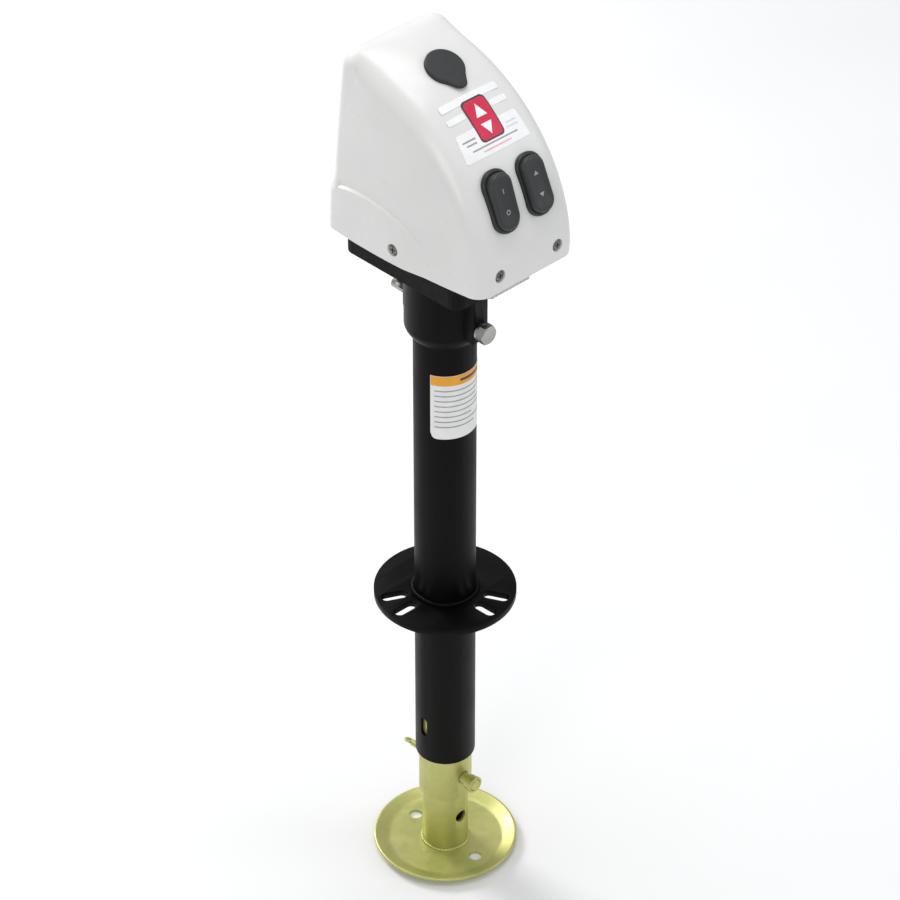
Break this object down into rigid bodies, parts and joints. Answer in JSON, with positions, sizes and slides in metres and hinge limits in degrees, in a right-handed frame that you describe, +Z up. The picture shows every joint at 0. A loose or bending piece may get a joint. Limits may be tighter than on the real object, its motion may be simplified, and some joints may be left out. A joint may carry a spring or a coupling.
{
  "type": "trailer tongue jack",
  "caption": "Powered A-frame trailer jack: domed drive head with rocker switches over a black tube with a slotted bolting flange, and a pinned drop leg on a round foot",
  "frame": {"origin": "on the jack's axis, at the underside of the foot", "axes": "+Z up along the tube, -Y to the front of the drive head with its switches, +X to the head's right"},
  "size_m": [0.14, 0.186, 0.8862],
  "materials": {
    "black_paint": "gloss black powder coat",
    "zinc": "yellow zinc plate",
    "plated_steel": "clear zinc plate",
    "bright_steel": "machined steel",
    "black_steel": "black oxide",
    "black_plastic": "moulded black plastic",
    "rocker_plastic": "moulded dark grey plastic",
    "cover_plastic": "moulded light grey plastic",
    "rubber": "moulded black rubber",
    "bronze": "bearing bronze",
    "rotor": "steel laminations wound with copper wire",
    "cast_metal": "die cast aluminium",
    "lens": "frosted light plastic",
    "board": "glass-fibre circuit board"
  },
  "bodies": {
    "head": {"outer_tube": "black_paint", "mounting_flange": "black_paint", "neck_collar": "black_paint", "neck_bolt": "plated_steel", "neck_stud": "plated_steel", "neck_nut": "plated_steel", "neck_screw_1": "plated_steel", "neck_screw_2": "plated_steel", "neck_screw_3": "plated_steel", "neck_screw_4": "plated_steel", "thrust_race_upper": "bright_steel", "gearbox_base": "cast_metal", "gearbox_lid": "cast_metal", "lid_screw_1": "plated_steel", "lid_screw_2": "plated_steel", "lid_screw_3": "plated_steel", "lid_screw_4": "plated_steel", "idler_shaft": "bright_steel", "top_bush": "bronze", "motor_end_cap": "cast_metal", "motor_can": "bright_steel", "head_tray": "black_plastic", "lead_grommet": "rubber", "work_light_housing": "black_plastic", "work_light_lens": "lens", "work_light_board": "board", "cover": "cover_plastic", "cover_screw_front_left": "black_steel", "cover_screw_front_right": "black_steel", "cover_screw_side_left": "black_steel", "cover_screw_side_right": "black_steel", "light_switch_housing": "black_plastic", "drive_switch_housing": "black_plastic"},
    "motor_rotor": {"motor_armature": "rotor", "motor_pinion": "bronze"},
    "idler": {"idler_gear": "bright_steel"},
    "screw": {"lift_screw": "bright_steel", "output_gear": "bright_steel", "crank_socket": "bright_steel", "socket_pin": "bright_steel", "thrust_race_lower": "bright_steel"},
    "ball_ring": {"thrust_ball_ring": "bright_steel"},
    "ram": {"ram_tube": "zinc", "lift_nut": "bronze", "drop_leg": "zinc", "foot_plate": "zinc"},
    "pin": {"pull_pin": "zinc"},
    "keeper": {"pin_keeper": "zinc"},
    "light_switch": {"light_switch_rocker": "rocker_plastic"},
    "drive_switch": {"drive_switch_rocker": "rocker_plastic"},
    "cap": {"crank_cap": "rubber"}
  },
  "joints": [
    {"name": "motor_spin", "type": "hinge", "parent": "head", "child": "motor_rotor", "pos_m": [0, 0.044, 0], "axis": [0, 0, 1], "range_deg": [-5, 483845]},
    {"name": "idler_spin", "type": "hinge", "parent": "head", "child": "idler", "pos_m": [0.0206, 0.02983, 0], "axis": [0, 0, 1], "range_deg": [-120965, 5]},
    {"name": "screw_spin", "type": "hinge", "parent": "head", "child": "screw", "pos_m": [0, 0, 0], "axis": [0, 0, 1], "range_deg": [-5, 25205]},
    {"name": "ball_ring_spin", "type": "hinge", "parent": "head", "child": "ball_ring", "pos_m": [0, 0, 0], "axis": [0, 0, 1], "range_deg": [-5, 12605]},
    {"name": "ram_slide", "type": "slide", "parent": "head", "child": "ram", "axis": [0, 0, -1], "range_m": [0, 0.3556]},
    {"name": "pin_pull", "type": "slide", "parent": "ram", "child": "pin", "axis": [0, 1, 0], "range_m": [0, 0.11]},
    {"name": "keeper_off", "type": "slide", "parent": "ram", "child": "keeper", "axis": [0, -1, 0], "range_m": [0, 0.03]},
    {"name": "light_switch_tilt", "type": "hinge", "parent": "head", "child": "light_switch", "pos_m": [-0.0198, -0.08595, 0.78686], "axis": [1, 0, 0], "range_deg": [-10, 0]},
    {"name": "drive_switch_tilt", "type": "hinge", "parent": "head", "child": "drive_switch", "pos_m": [0.0198, -0.08595, 0.78686], "axis": [1, 0, 0], "range_deg": [-5, 5], "stiffness_Nm_per_rad": 0.08},
    {"name": "cap_off", "type": "slide", "parent": "head", "child": "cap", "axis": [0, -0.4116, 0.9114], "range_m": [0, 0.03]}
  ],
  "couplings": [
    {"joint": "motor_spin", "follows": "ram_slide", "rad_per_m": 23747},
    {"joint": "idler_spin", "follows": "ram_slide", "rad_per_m": -5936.9},
    {"joint": "screw_spin", "follows": "ram_slide", "rad_per_m": 1236.8},
    {"joint": "ball_ring_spin", "follows": "ram_slide", "rad_per_m": 618.42}
  ]
}
